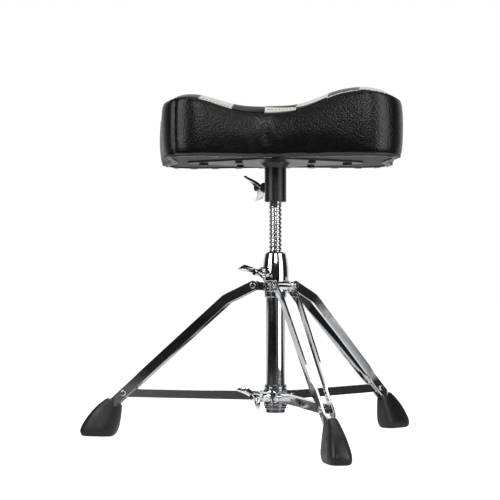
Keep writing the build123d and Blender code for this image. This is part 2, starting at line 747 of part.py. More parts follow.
with BuildPart() as plate_bolts:
    for x, y in plate_bolt_spots:
        head_r = TIP_BOLT_HEAD_R if y == 0 else PLATE_BOLT_HEAD_R
        with BuildSketch(Plane.XY.offset(plate_z)):
            with Locations((x, y)):
                Circle(PLATE_BOLT_R)
        extrude(amount=PLATE_THICK + BOARD_THICK - 1)
        with BuildSketch(Plane.XY.offset(plate_z)):
            with Locations((x, y)):
                Circle(head_r)
                Rectangle(DRIVER_SLOT, 2 * head_r - 3, mode=Mode.SUBTRACT)
        extrude(amount=-PLATE_BOLT_HEAD)
pieces["seat_plate_bolts"] = plate_bolts.part

with BuildPart() as socket_tube:
    with BuildSketch(AXIS_PLANE):
        with BuildLine():
            Polyline(
                (SPINDLE_R + RUN_FIT, SOCKET_Z),
                (SOCKET_R - 1, SOCKET_Z),
                (SOCKET_R, SOCKET_Z + 1),
                (SOCKET_R, plate_z - 7),
                (SOCKET_FLANGE_R, plate_z),
                (0, plate_z),
                (0, SPINDLE_TOP_Z + 2),
                (SPINDLE_R + RUN_FIT, SPINDLE_TOP_Z + 2),
                close=True,
            )
        make_face()
    revolve(axis=Axis.Z)
    with BuildSketch(outward_plane(SEAT_BOLT_AZIMUTH, SOCKET_R - 3, SEAT_BOLT_Z)):
        Circle(BOSS_R)
    extrude(amount=10)
    with BuildSketch(outward_plane(SEAT_BOLT_AZIMUTH, SPINDLE_R - 4, SEAT_BOLT_Z)):
        Circle(BOLT_R + RUN_FIT)
    extrude(amount=40, mode=Mode.SUBTRACT)
pieces["seat_socket_tube"] = socket_tube.part

with BuildPart() as cover_staples:
    # the crowns of the staples that hold the hem, all round, a little in from the edge
    with BuildSketch(Plane.XY.offset(SEAT_Z - STAPLE_THICK)):
        outline = saddle_plan()
        for count in range(STAPLE_COUNT):
            edge = outline.position_at(count / STAPLE_COUNT)
            along = outline.tangent_at(count / STAPLE_COUNT)
            inwards = Vector(-along.Y, along.X)
            spot = edge + inwards * HEM_WIDTH * 0.6
            with Locations(Location((spot.X, spot.Y, 0), (0, 0, degrees(atan2(along.Y, along.X))))):
                Rectangle(STAPLE_LENGTH, STAPLE_WIDTH)
    extrude(amount=STAPLE_THICK)
pieces["cover_staples"] = cover_staples.part


# ---------------------------------------------------------------- wing bolts and their pads
def wing_bolt(azimuth, height, tip_r, hub_r, roll):
    """A bolt along a radius of the column, with a hub and two rounded wings at its outer end."""
    with BuildPart() as bolt:
        with BuildSketch(outward_plane(azimuth, tip_r, height)):
            Circle(BOLT_R)
        extrude(amount=hub_r - tip_r + 2)
        with BuildSketch(outward_plane(azimuth, hub_r - 5, height)):
            Circle(HUB_R)
        extrude(amount=12, taper=5)
        face = outward_plane(azimuth, hub_r, height).rotated((0, 0, roll))
        wing_plane = Plane(origin=face.origin, x_dir=face.x_dir, z_dir=face.y_dir * -1)
        with BuildSketch(wing_plane) as wings:
            with BuildLine():
                Polyline(
                    (-WING_SPAN / 2, 6.5),
                    (-5, -3),
                    (5, -3),
                    (WING_SPAN / 2, 6.5),
                    (WING_SPAN / 2 - 2.5, 13.5),
                    (WING_SPAN / 2 - 9, 12.5),
                    (5, 6),
                    (-5, 6),
                    (-WING_SPAN / 2 + 9, 12.5),
                    (-WING_SPAN / 2 + 2.5, 13.5),
                    close=True,
                )
            make_face()
            fillet(wings.vertices(), 2.4)
        extrude(amount=WING_THICK / 2, both=True)
    return bolt.part


def clamp_pad(azimuth, height, shaft_r):
    """A soft pad at a bolt's tip, which bears on the shaft."""
    with BuildPart() as pad:
        with BuildSketch(outward_plane(azimuth, shaft_r, height)):
            Circle(BOLT_R - 0.2)
        extrude(amount=PAD_THICK)
        with BuildSketch(Plane.XY.offset(height - 10)):
            Circle(shaft_r + 0.15)
        extrude(amount=20, mode=Mode.SUBTRACT)
    return pad.part


pad_end = PAD_THICK + GAP
pieces["seat_wing_bolt"] = wing_bolt(SEAT_BOLT_AZIMUTH, SEAT_BOLT_Z, SPINDLE_R + pad_end, SEAT_HUB_R, SEAT_ROLL)
pieces["nut_wing_bolt"] = wing_bolt(COLUMN_BOLT_AZIMUTH, nut_bolt_z, SPINDLE_R + pad_end, NUT_HUB_R, NUT_ROLL)
pieces["collar_wing_bolt"] = wing_bolt(COLUMN_BOLT_AZIMUTH, STRUT_Z, TUBE_R + pad_end, LOW_HUB_R, LOW_ROLL)
pieces["seat_clamp_pad"] = clamp_pad(SEAT_BOLT_AZIMUTH, SEAT_BOLT_Z, SPINDLE_R)
pieces["nut_clamp_pad"] = clamp_pad(COLUMN_BOLT_AZIMUTH, nut_bolt_z, SPINDLE_R)
pieces["collar_clamp_pad"] = clamp_pad(COLUMN_BOLT_AZIMUTH, STRUT_Z, TUBE_R)

# ---------------------------------------------------------------- place the origin and write the pieces
whole = Compound(children=[Compound(p.wrapped) for p in pieces.values()]).bounding_box()
origin_x = (whole.min.X + whole.max.X) / 2
origin_y = (whole.min.Y + whole.max.Y) / 2
origin_z = whole.min.Z
print("column axis at", round(-origin_x, 3), round(-origin_y, 3), "lowest", round(origin_z, 4))

os.makedirs("parts", exist_ok=True)
for name, piece in pieces.items():
    placed = piece.moved(Location((-origin_x, -origin_y, -origin_z)))
    placed.label = name
    export_step(placed, f"parts/{name}.step")
print(len(pieces), "pieces written")
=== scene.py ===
# %% [markdown]
# # A drum throne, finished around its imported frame
# The throne is a padded saddle on a screwed spindle, held up by a folding tripod of flat chromed bars.
# The frame holds every hard piece at its real place. This lesson gives those pieces their finishes, and
# remakes the ones whose beauty is in their surface: the cushion, the screw thread, the wing bolts, the feet.

# %% Load the frame
import json
import math

import bmesh
import bpy
from mathutils import Matrix, Vector, noise
from mathutils.bvhtree import BVHTree
from mathutils.kdtree import KDTree


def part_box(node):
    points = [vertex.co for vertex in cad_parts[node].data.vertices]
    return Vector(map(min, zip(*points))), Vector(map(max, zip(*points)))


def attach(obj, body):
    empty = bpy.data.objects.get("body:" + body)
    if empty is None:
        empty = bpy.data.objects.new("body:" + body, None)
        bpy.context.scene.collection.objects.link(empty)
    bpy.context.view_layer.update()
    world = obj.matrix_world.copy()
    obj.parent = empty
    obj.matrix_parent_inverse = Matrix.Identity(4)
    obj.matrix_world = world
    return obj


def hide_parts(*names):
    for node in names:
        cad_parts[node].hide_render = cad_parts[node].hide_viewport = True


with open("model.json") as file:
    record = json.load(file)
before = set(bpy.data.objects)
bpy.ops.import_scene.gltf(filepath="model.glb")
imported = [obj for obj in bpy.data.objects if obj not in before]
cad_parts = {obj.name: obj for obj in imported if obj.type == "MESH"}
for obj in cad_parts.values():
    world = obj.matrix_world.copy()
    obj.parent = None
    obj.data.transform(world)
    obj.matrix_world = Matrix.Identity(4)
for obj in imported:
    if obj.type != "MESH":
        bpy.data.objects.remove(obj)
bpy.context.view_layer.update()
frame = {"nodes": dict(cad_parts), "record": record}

MM = 0.001

# %% [markdown]
# ## Where things are
# Nothing is placed by eye. The column's axis is the middle of the base tube's box, and each leg's compass
# direction comes from its strut rivet. Everything later is measured out from these.

# %% Measure the column and the legs
LEGS = ("front", "right", "left")


def node_middle(node):
    low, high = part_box(node)
    return (Vector(low) + Vector(high)) / 2


column = node_middle("base_tube")
column.z = 0.0


def leg_direction(leg):
    """Unit vector from the column out along a leg, on the level."""
    out = node_middle(f"{leg}_leg_rivets") - column
    out.z = 0.0
    return out.normalized()


for leg in LEGS:
    way = leg_direction(leg)
    print(leg, "leg points at", round(math.degrees(math.atan2(way.y, way.x)), 1), "degrees")

# %% [markdown]
# ## Small tools for the bench
# An operator acts on whatever is selected, so each job starts by selecting one piece only. A finished piece
# keeps its object at the origin: the place goes into the mesh, as it does for the frame's own nodes.

# %% Selecting, smoothing and handing over a piece
def take(piece):
    """Selects this piece alone."""
    bpy.ops.object.select_all(action="DESELECT")
    piece.select_set(True)
    bpy.context.view_layer.objects.active = piece


def apply_all(piece):
    """Applies a piece's modifiers in order."""
    take(piece)
    for modifier in list(piece.modifiers):
        bpy.ops.object.modifier_apply(modifier=modifier.name)


def settle(piece, name, body, material, sharp=35.0):
    """Names a piece, puts its place in its mesh, smooths it and lets it ride on its body."""
    take(piece)
    bpy.ops.object.transform_apply(location=True, rotation=True, scale=True)
    bpy.ops.object.shade_smooth_by_angle(angle=math.radians(sharp))
    piece.name = name
    piece.data.name = name
    if material is not None:
        piece.data.materials.clear()
        piece.data.materials.append(material)
    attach(piece, body)
    print(name, len(piece.data.vertices), "vertices on", body)
    return piece


def merge_and_face_out(piece):
    take(piece)
    bpy.ops.object.mode_set(mode="EDIT")
    bpy.ops.mesh.select_all(action="SELECT")
    bpy.ops.mesh.remove_doubles(threshold=0.00002)
    bpy.ops.mesh.normals_make_consistent(inside=False)
    bpy.ops.object.mode_set(mode="OBJECT")


def join(pieces):
    """Joins pieces into the first one."""
    take(pieces[0])
    for piece in pieces[1:]:
        piece.select_set(True)
    bpy.ops.object.join()
    return pieces[0]

# %% [markdown]
# ## Lofting from a ring
# The cushion and the rubber feet are both skins over a stack of rings. By hand one would add a circle,
# extrude its edge, shape the new ring and go on. The tool below does just that: each extrusion lifts a new
# ring off the last one, and every new point is sent to its own place.

# %% A loft made by extruding one ring after another
def loft(rings, close_start=True, close_end=True):
    """A skin over rings of equal length, made by extruding a circle's edge ring by ring."""
    count = len(rings[0])
    bpy.ops.object.select_all(action="DESELECT")
    bpy.ops.mesh.primitive_circle_add(vertices=count, radius=0.1, fill_type="NOTHING")
    skin = bpy.context.object
    for vertex, place in zip(skin.data.vertices, rings[0]):
        vertex.co = place
    bpy.ops.object.mode_set(mode="EDIT")
    bpy.ops.mesh.select_mode(type="EDGE")
    bpy.ops.mesh.select_all(action="SELECT")
    if close_start:
        bpy.ops.mesh.edge_face_add()
    ids = list(range(count))
    for ring in rings[1:]:
        bpy.ops.mesh.select_all(action="DESELECT")
        edit = bmesh.from_edit_mesh(skin.data)
        edit.verts.ensure_lookup_table()
        known = len(edit.verts)
        for first, second in zip(ids, ids[1:] + ids[:1]):
            edit.edges.get((edit.verts[first], edit.verts[second])).select_set(True)
        bpy.ops.mesh.extrude_edges_indiv()
        edit = bmesh.from_edit_mesh(skin.data)
        edit.verts.index_update()
        edit.verts.ensure_lookup_table()
        ids = [next(edge.other_vert(edit.verts[i]).index for edge in edit.verts[i].link_edges
                    if edge.other_vert(edit.verts[i]).index >= known) for i in ids]
        for i, place in zip(ids, ring):
            edit.verts[i].co = place
        bmesh.update_edit_mesh(skin.data)
    if close_end:
        bpy.ops.mesh.edge_face_add()
    bpy.ops.mesh.select_mode(type="VERT")
    bpy.ops.object.mode_set(mode="OBJECT")
    merge_and_face_out(skin)
    return skin

# %% [markdown]
# ## Effects shared by several finishes
# Real surfaces are never even. Three effects turn up again and again: fine handling marks that change how
# sharp a reflection is, the pebbled grain that is pressed into vinyl, and a little dust that lies on what
# faces up. Each is a node group with named sockets, so every finish can set its own scale and strength.

# %% Node groups: handling marks, pebbled grain and settled dust
def effect(name, inputs, outputs):
    """An empty node group with float inputs and outputs, and its two ends."""
    group = bpy.data.node_groups.new(name, "ShaderNodeTree")
    for label, value in inputs.items():
        socket = group.interface.new_socket(label, in_out="INPUT", socket_type="NodeSocketFloat")
        socket.default_value = value
    for label in outputs:
        group.interface.new_socket(label, in_out="OUTPUT", socket_type="NodeSocketFloat")
    return group, group.nodes.new("NodeGroupInput"), group.nodes.new("NodeGroupOutput")


def add_node(tree, kind, **settings):
    node = tree.nodes.new(kind)
    for key, value in settings.items():
        setattr(node, key, value)
    return node


def math_node(tree, operation, first, second):
    """A Math node; each operand is a number or a socket."""
    node = add_node(tree, "ShaderNodeMath", operation=operation)
    for socket, value in zip(node.inputs, (first, second)):
        if isinstance(value, (int, float)):
            socket.default_value = value
        else:
            tree.links.new(value, socket)
    return node.outputs[0]


def ramp(tree, value, low, high, out_low=0.0, out_high=1.0):
    """Maps a value from one range to another, held at both ends."""
    node = add_node(tree, "ShaderNodeMapRange")
    tree.links.new(value, node.inputs["Value"])
    for label, number in (("From Min", low), ("From Max", high), ("To Min", out_low), ("To Max", out_high)):
        node.inputs[label].default_value = number
    return node.outputs["Result"]


def noise_at(tree, coordinate, scale, detail=3.0, rough=0.55):
    node = add_node(tree, "ShaderNodeTexNoise")
    tree.links.new(coordinate, node.inputs["Vector"])
    node.inputs["Detail"].default_value = detail
    node.inputs["Roughness"].default_value = rough
    if isinstance(scale, (int, float)):
        node.inputs["Scale"].default_value = scale
    else:
        tree.links.new(scale, node.inputs["Scale"])
    return node.outputs["Fac"]


marks, marks_in, marks_out = effect(
    "handling_marks", {"Scale": 60.0, "Base": 0.08, "Spread": 0.08}, ("Roughness",))
place = add_node(marks, "ShaderNodeTexCoord").outputs["Object"]
cloudy = noise_at(marks, place, marks_in.outputs["Scale"], 6.0, 0.7)
wiped = math_node(marks, "MULTIPLY", ramp(marks, cloudy, 0.38, 0.68), marks_in.outputs["Spread"])
marks.links.new(math_node(marks, "ADD", marks_in.outputs["Base"], wiped), marks_out.inputs["Roughness"])

grain, grain_in, grain_out = effect("pebbled_grain", {"Scale": 420.0, "Softness": 0.5}, ("Height", "Valley"))
place = add_node(grain, "ShaderNodeTexCoord").outputs["Object"]
pebbles = add_node(grain, "ShaderNodeTexVoronoi", feature="SMOOTH_F1")
pebbles.inputs["Smoothness"].default_value = 0.6
grain.links.new(place, pebbles.inputs["Vector"])
grain.links.new(grain_in.outputs["Scale"], pebbles.inputs["Scale"])
wander = noise_at(grain, place, math_node(grain, "MULTIPLY", grain_in.outputs["Scale"], 0.6), 2.0)
domes = ramp(grain, pebbles.outputs["Distance"], 0.1, 0.8, 1.0, 0.0)
softened = math_node(grain, "MULTIPLY", wander, grain_in.outputs["Softness"])
grain.links.new(math_node(grain, "ADD", domes, softened), grain_out.inputs["Height"])
grain.links.new(ramp(grain, domes, 0.15, 0.5, 1.0, 0.0), grain_out.inputs["Valley"])

dust, dust_in, dust_out = effect("settled_dust", {"Scale": 90.0, "Amount": 0.2}, ("Mask",))
place = add_node(dust, "ShaderNodeTexCoord").outputs["Object"]
normal = add_node(dust, "ShaderNodeNewGeometry").outputs["Normal"]
upward = add_node(dust, "ShaderNodeSeparateXYZ")
dust.links.new(normal, upward.inputs[0])
facing_up = ramp(dust, upward.outputs["Z"], 0.3, 1.0)
patchy = ramp(dust, noise_at(dust, place, dust_in.outputs["Scale"], 5.0), 0.4, 0.75)
lying = math_node(dust, "MULTIPLY", facing_up, patchy)
dust.links.new(math_node(dust, "MULTIPLY", lying, dust_in.outputs["Amount"]), dust_out.inputs["Mask"])
print("effects", [g.name for g in bpy.data.node_groups])

# %% [markdown]
# ## A bench for finishes
# A finish starts from one Principled shader with its fixed numbers set on the shader itself. Only what
# changes over the surface is linked in. The helpers below wire the shared effects into a finish.

# %% Helpers that build a finish
def finish(name, color, metallic=0.0, roughness=0.4, coat=0.0, coat_rough=0.1, specular=0.5):
    """A material with one Principled shader; returns the material, its tree and the shader."""
    material = bpy.data.materials.new(name)
    material.use_nodes = True
    tree = material.node_tree
    shader = tree.nodes["Principled BSDF"]
    shader.inputs["Base Color"].default_value = (*color, 1.0)
    shader.inputs["Metallic"].default_value = metallic
    shader.inputs["Roughness"].default_value = roughness
    shader.inputs["Coat Weight"].default_value = coat
    shader.inputs["Coat Roughness"].default_value = coat_rough
    shader.inputs["Specular IOR Level"].default_value = specular
    return material, tree, shader


def use_effect(tree, group, **values):
    node = add_node(tree, "ShaderNodeGroup", node_tree=group)
    for key, value in values.items():
        node.inputs[key].default_value = value
    return node


def bump(tree, shader, height, strength, distance):
    node = add_node(tree, "ShaderNodeBump")
    node.inputs["Strength"].default_value = strength
    node.inputs["Distance"].default_value = distance
    tree.links.new(height, node.inputs["Height"])
    tree.links.new(node.outputs["Normal"], shader.inputs["Normal"])
    return node


def blend_color(tree, mask, first, second):
    """A colour that goes from first to second where the mask is 1; each is a colour or a socket."""
    node = add_node(tree, "ShaderNodeMix", data_type="RGBA")
    tree.links.new(mask, node.inputs["Factor"])
    for socket, value in ((node.inputs["A"], first), (node.inputs["B"], second)):
        if isinstance(value, tuple):
            socket.default_value = (*value, 1.0)
        else:
            tree.links.new(value, socket)
    return node.outputs["Result"]


def object_place(tree):
    return add_node(tree, "ShaderNodeTexCoord").outputs["Object"]


def let_dust_lie(tree, shader, color, dusty, scale, amount):
    """Lets dust change the colour of what faces up."""
    node = use_effect(tree, dust, Scale=scale, Amount=amount)
    tree.links.new(blend_color(tree, node.outputs["Mask"], color, dusty), shader.inputs["Base Color"])

# %% [markdown]
# ## Metal finishes
# Chrome plate is a mirror with faint wiping marks and a soft unevenness left by polishing. The rivets and
# the spindle are plated but not polished, so their reflections are broader, with lathe lines round them.

# %% Chrome, plated steel, zinc and brass
def polished_chrome(name, tint, base, spread, wave):
    material, tree, shader = finish(name, tint, metallic=1.0, roughness=base)
    marks_node = use_effect(tree, marks, Scale=70.0, Base=base, Spread=spread)
    tree.links.new(marks_node.outputs["Roughness"], shader.inputs["Roughness"])
    ripple = noise_at(tree, object_place(tree), 38.0, 1.0)
    bump(tree, shader, ripple, wave, 0.0006)
    let_dust_lie(tree, shader, tint, (0.55, 0.54, 0.52), 140.0, 0.10)
    return material


def turned_steel(name, tint, base, line_scale):
    """Plated steel with fine lines round its axis."""
    material, tree, shader = finish(name, tint, metallic=1.0, roughness=base)
    place = object_place(tree)
    squeeze = add_node(tree, "ShaderNodeMapping")
    squeeze.inputs["Scale"].default_value = (0.15, 0.15, 6.0)
    tree.links.new(place, squeeze.inputs["Vector"])
    lines = noise_at(tree, squeeze.outputs["Vector"], line_scale, 2.0, 0.8)
    tree.links.new(ramp(tree, lines, 0.3, 0.7, base * 0.8, base * 1.5), shader.inputs["Roughness"])
    stain = ramp(tree, noise_at(tree, place, 55.0, 4.0), 0.45, 0.7)
    darker = tuple(c * 0.8 for c in tint)
    tree.links.new(blend_color(tree, stain, tint, darker), shader.inputs["Base Color"])
    bump(tree, shader, lines, 0.12, 0.0002)
    return material


chrome_plate = polished_chrome("chrome_plate", (0.80, 0.81, 0.83), 0.035, 0.07, 0.10)
strut_plate = polished_chrome("strut_plate", (0.74, 0.75, 0.77), 0.06, 0.10, 0.14)
wing_chrome = polished_chrome("wing_chrome", (0.82, 0.82, 0.83), 0.05, 0.06, 0.25)
rivet_steel = turned_steel("rivet_steel", (0.72, 0.72, 0.73), 0.16, 300.0)
spindle_steel = turned_steel("spindle_steel", (0.76, 0.76, 0.78), 0.12, 400.0)
bright_zinc = turned_steel("bright_zinc", (0.62, 0.63, 0.66), 0.28, 500.0)
nut_brass = turned_steel("nut_brass", (0.78, 0.62, 0.32), 0.22, 300.0)

# %% [markdown]
# ## Black finishes
# The socket tube and the plate under the seat are powder coated: satin black with the faint pimpled skin
# that baked powder leaves. The feet are satin rubber, duller in some patches than in others. Nylon bushes
# are plain moulded plastic with a slight haze.

# %% Powder coat, rubber, nylon and black bolts
def powder_coat(name, color, rough, pimple_scale, pimple_height, coat):
    material, tree, shader = finish(name, color, roughness=rough, coat=coat, coat_rough=0.22)
    place = object_place(tree)
    pimples = noise_at(tree, place, pimple_scale, 2.0)
    bump(tree, shader, pimples, 0.35, pimple_height)
    marks_node = use_effect(tree, marks, Scale=45.0, Base=rough, Spread=0.12)
    tree.links.new(marks_node.outputs["Roughness"], shader.inputs["Roughness"])
    let_dust_lie(tree, shader, color, (0.10, 0.10, 0.10), 120.0, 0.18)
    return material


def moulded_rubber(name, color):
    material, tree, shader = finish(name, color, roughness=0.45, specular=0.5)
    place = object_place(tree)
    fine = noise_at(tree, place, 900.0, 3.0)
    flow = noise_at(tree, place, 60.0, 2.0)
    height = math_node(tree, "ADD", fine, math_node(tree, "MULTIPLY", flow, 0.6))
    bump(tree, shader, height, 0.14, 0.0004)
    tree.links.new(ramp(tree, flow, 0.35, 0.7, 0.34, 0.50), shader.inputs["Roughness"])
    let_dust_lie(tree, shader, color, (0.13, 0.125, 0.12), 70.0, 0.35)
    return material


def moulded_nylon(name, color):
    material, tree, shader = finish(name, color, roughness=0.42)
    place = object_place(tree)
    haze = noise_at(tree, place, 240.0, 4.0)
    tree.links.new(ramp(tree, haze, 0.3, 0.7, 0.32, 0.55), shader.inputs["Roughness"])
    bump(tree, shader, haze, 0.15, 0.0002)
    tree.links.new(blend_color(tree, ramp(tree, haze, 0.4, 0.8), color, tuple(c * 1.5 for c in color)),
                   shader.inputs["Base Color"])
    return material


black_paint = powder_coat("black_paint", (0.012, 0.012, 0.013), 0.34, 700.0, 0.0002, 0.25)
black_bolt = powder_coat("black_bolt", (0.02, 0.02, 0.021), 0.42, 900.0, 0.0001, 0.0)
foot_rubber = moulded_rubber("foot_rubber", (0.007, 0.007, 0.008))
bush_nylon = moulded_nylon("bush_nylon", (0.035, 0.035, 0.038))

# %% [markdown]
# ## Vinyl, thread, foam and plywood
# The side band is a grained black vinyl. Its pebbles are 2 to 3 mm across and catch the light one by one,
# so the grain is real relief in the normal. The top panel is smoother and printed in large black and white
# squares. The squares follow the panel's plan, turned a little from the saddle's long side.

# %% Soft finishes
def grained_vinyl(name, color, scale, rough, strength, distance):
    material, tree, shader = finish(name, color, roughness=rough, coat=0.05, coat_rough=0.25, specular=0.4)
    grain_node = use_effect(tree, grain, Scale=scale, Softness=0.45)
    bump(tree, shader, grain_node.outputs["Height"], strength, distance)
    duller = ramp(tree, grain_node.outputs["Valley"], 0.0, 1.0, rough, rough + 0.10)
    tree.links.new(duller, shader.inputs["Roughness"])
    let_dust_lie(tree, shader, color, (0.06, 0.06, 0.062), 60.0, 0.25)
    return material, tree, shader


SQUARE = 44 * MM
PATTERN_TURN = math.radians(10)
PATTERN_SHIFT = (1.938, 0.188)
side_vinyl, _, _ = grained_vinyl("side_vinyl", (0.0035, 0.0035, 0.0045), 430.0, 0.28, 0.5, 0.0005)
top_vinyl, top_tree, top_shader = grained_vinyl("top_vinyl", (0.012, 0.012, 0.014), 640.0, 0.34, 0.2, 0.0004)

pattern_place = add_node(top_tree, "ShaderNodeMapping", vector_type="POINT")
turned_x = (column.x * math.cos(PATTERN_TURN) - column.y * math.sin(PATTERN_TURN)) / SQUARE
turned_y = (column.x * math.sin(PATTERN_TURN) + column.y * math.cos(PATTERN_TURN)) / SQUARE
pattern_place.inputs["Location"].default_value = (
    PATTERN_SHIFT[0] - turned_x, PATTERN_SHIFT[1] - turned_y, 0.5)
pattern_place.inputs["Rotation"].default_value = (0.0, 0.0, PATTERN_TURN)
pattern_place.inputs["Scale"].default_value = (1 / SQUARE, 1 / SQUARE, 0.0)
top_tree.links.new(object_place(top_tree), pattern_place.inputs["Vector"])
squares = add_node(top_tree, "ShaderNodeTexChecker")
squares.inputs["Scale"].default_value = 1.0
top_tree.links.new(pattern_place.outputs["Vector"], squares.inputs["Vector"])
soil = ramp(top_tree, noise_at(top_tree, object_place(top_tree), 26.0, 5.0), 0.4, 0.8)
white_print = blend_color(top_tree, soil, (0.78, 0.76, 0.71), (0.68, 0.655, 0.60))
black_print = blend_color(top_tree, soil, (0.010, 0.010, 0.012), (0.018, 0.018, 0.02))
printed = blend_color(top_tree, squares.outputs["Fac"], black_print, white_print)
top_tree.links.new(printed, top_shader.inputs["Base Color"])


def spun_thread(name, color):
    material, tree, shader = finish(name, color, roughness=0.6)
    twist = add_node(tree, "ShaderNodeTexWave", wave_type="BANDS", bands_direction="DIAGONAL")
    twist.inputs["Scale"].default_value = 900.0
    tree.links.new(object_place(tree), twist.inputs["Vector"])
    bump(tree, shader, twist.outputs["Fac"], 0.5, 0.0002)
    tree.links.new(ramp(tree, twist.outputs["Fac"], 0.0, 1.0, 0.5, 0.75), shader.inputs["Roughness"])
    return material


def open_foam(name, color):
    material, tree, shader = finish(name, color, roughness=0.9, specular=0.2)
    cells = noise_at(tree, object_place(tree), 800.0, 2.0)
    bump(tree, shader, cells, 0.8, 0.0008)
    tree.links.new(blend_color(tree, ramp(tree, cells, 0.4, 0.6), color, tuple(c * 0.7 for c in color)),
                   shader.inputs["Base Color"])
    return material


def plywood(name, pale, dark):
    """Birch plywood stained dark, with its long grain on the faces."""
    material, tree, shader = finish(name, pale, roughness=0.55)
    stretch = add_node(tree, "ShaderNodeMapping")
    stretch.inputs["Scale"].default_value = (0.6, 9.0, 40.0)
    tree.links.new(object_place(tree), stretch.inputs["Vector"])
    fibres = noise_at(tree, stretch.outputs["Vector"], 14.0, 6.0, 0.65)
    tree.links.new(blend_color(tree, ramp(tree, fibres, 0.35, 0.7), pale, dark), shader.inputs["Base Color"])
    bump(tree, shader, fibres, 0.25, 0.0004)
    return material


seam_thread = spun_thread("seam_thread", (0.016, 0.016, 0.018))
cushion_foam = open_foam("cushion_foam", (0.80, 0.76, 0.60))
birch_board = plywood("birch_board", (0.050, 0.048, 0.046), (0.026, 0.025, 0.024))
print("finishes", len(bpy.data.materials))

# %% [markdown]
# ## Dressing the frame's own pieces
# Most hard pieces already have their true shape, so they only need their finish. The list says which
# finish each record slot takes, and every node of that slot gets it.

# %% Give each frame node its finish
FINISH_OF_SLOT = {
    "chrome_plate": chrome_plate, "strut_plate": strut_plate, "rivet_steel": rivet_steel,
    "spindle_steel": spindle_steel, "foot_rubber": foot_rubber, "bush_nylon": bush_nylon,
    "nut_brass": nut_brass, "black_paint": black_paint, "black_bolt": black_bolt,
    "bright_zinc": bright_zinc, "side_vinyl": side_vinyl, "top_vinyl": top_vinyl,
    "cushion_foam": cushion_foam, "birch_board": birch_board,
}
for part in frame["record"]["subparts"]:
    shape = frame["nodes"][part["node"]]
    shape.data.materials.clear()
    shape.data.materials.append(FINISH_OF_SLOT[part["material_slot"]])

# %% [markdown]
# ## Rolled edges on the flat bars
# The legs are cut from flat bar whose edges are slightly rounded before plating. That small round is what
# draws a bright line along each edge. Each bar and strut is copied, its triangles are dissolved into whole
# faces, and its sharp edges get a narrow bevel.

# %% Round the edges of the bars and struts
def rolled_edges(node, name, body, material, width):
    """A copy of a frame node with its sharp edges rounded."""
    shape = frame["nodes"][node]
    mesh = shape.data.copy()
    copy = bpy.data.objects.new(name, mesh)
    bpy.context.scene.collection.objects.link(copy)
    take(copy)
    bpy.ops.mesh.customdata_custom_splitnormals_clear()
    bpy.ops.object.mode_set(mode="EDIT")
    bpy.ops.mesh.select_all(action="SELECT")
    bpy.ops.mesh.remove_doubles(threshold=0.000005)
    bpy.ops.mesh.dissolve_limited(angle_limit=math.radians(0.6))
    bpy.ops.object.mode_set(mode="OBJECT")
    bpy.ops.object.modifier_add(type="BEVEL")
    bevel = copy.modifiers[-1]
    bevel.width = width
    bevel.segments = 2
    bevel.limit_method = "ANGLE"
    bevel.angle_limit = math.radians(40)
    bevel.use_clamp_overlap = True
    apply_all(copy)
    settle(copy, name, body, material, 15)
    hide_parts(node)


for leg in LEGS:
    for side in "ab":
        rolled_edges(f"{leg}_leg_bar_{side}", f"{leg}_bar_{side}_plated", f"{leg}_leg",
                     chrome_plate, 0.45 * MM)
    rolled_edges(f"{leg}_strut", f"{leg}_strut_plated", f"{leg}_strut", strut_plate, 0.4 * MM)

# %% [markdown]
# ## Measuring the saddle
# The cushion must fill the space that its cover takes in the frame. Rays cast inwards at the side cover
# give the plan, and rays cast down at the top cover give the height of the saddle along its length.

# %% Plan and top of the saddle
def tree_of(mesh):
    """A mesh that rays can be cast at."""
    return BVHTree.FromPolygons([v.co for v in mesh.vertices], [p.vertices for p in mesh.polygons])


side_tree = tree_of(frame["nodes"]["seat_side_cover"].data)
crown_tree = tree_of(frame["nodes"]["seat_top_cover"].data)
SEAT_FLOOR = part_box("seat_side_cover")[0][2]
RING = 336
FAR = 0.5


def plan_points():
    """The saddle's outline at equal steps along its edge, anticlockwise."""
    level = SEAT_FLOOR + 30 * MM
    rough = []
    for step in range(1440):
        angle = math.tau * step / 1440 - math.pi / 2
        way = Vector((math.cos(angle), math.sin(angle), 0))
        start = Vector((column.x, column.y, level)) + way * FAR
        rough.append(side_tree.ray_cast(start, -way)[0])
    lengths = [0.0]
    for first, second in zip(rough, rough[1:] + rough[:1]):
        lengths.append(lengths[-1] + (second - first).length)
    even = []
    at = 0
    for step in range(RING):
        goal = lengths[-1] * step / RING
        while lengths[at + 1] < goal:
            at += 1
        part = (goal - lengths[at]) / (lengths[at + 1] - lengths[at])
        even.append(rough[at].lerp(rough[(at + 1) % len(rough)], part))
    return even, lengths[-1]


def measure_crown():
    """The saddle's top at every few millimetres of its length, from rays cast down in several places."""
    low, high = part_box("seat_top_cover")
    found = []
    for step in range(101):
        x = low[0] + 1 * MM + (high[0] - low[0] - 2 * MM) * step / 100
        hits = [crown_tree.ray_cast(Vector((x, column.y + y * MM, 1.0)), Vector((0, 0, -1)))[0]
                for y in range(-112, 113, 8)]
        found.append((x, max(hit.z for hit in hits if hit is not None)))
    return found


crown_line = measure_crown()


def top_height(x):
    """Height of the saddle's top at this place along its length."""
    first, last = crown_line[0][0], crown_line[-1][0]
    at = (min(max(x, first), last) - first) / (last - first) * 100
    k = min(int(at), 99)
    return crown_line[k][1] + (crown_line[k + 1][1] - crown_line[k][1]) * (at - k)


plan, plan_length = plan_points()
outward = []
for step in range(RING):
    along = plan[(step + 2) % RING] - plan[step - 2]
    outward.append(Vector((along.y, -along.x, 0)).normalized())
tops = [top_height(p.x) for p in plan]
print("saddle edge", round(plan_length, 3), "m, top from", round(min(tops), 3), "to", round(max(tops), 3))

# %% [markdown]
# ## The cushion's rings
# A real cushion swells between the places where it is sewn or stapled down, and is pinched in at the seam
# between its side band and its top panel. Each row below is one ring: how far it stands in from the plan,
# and how high it is, from the hem under the board up to the seam, and on over the crown to the middle.

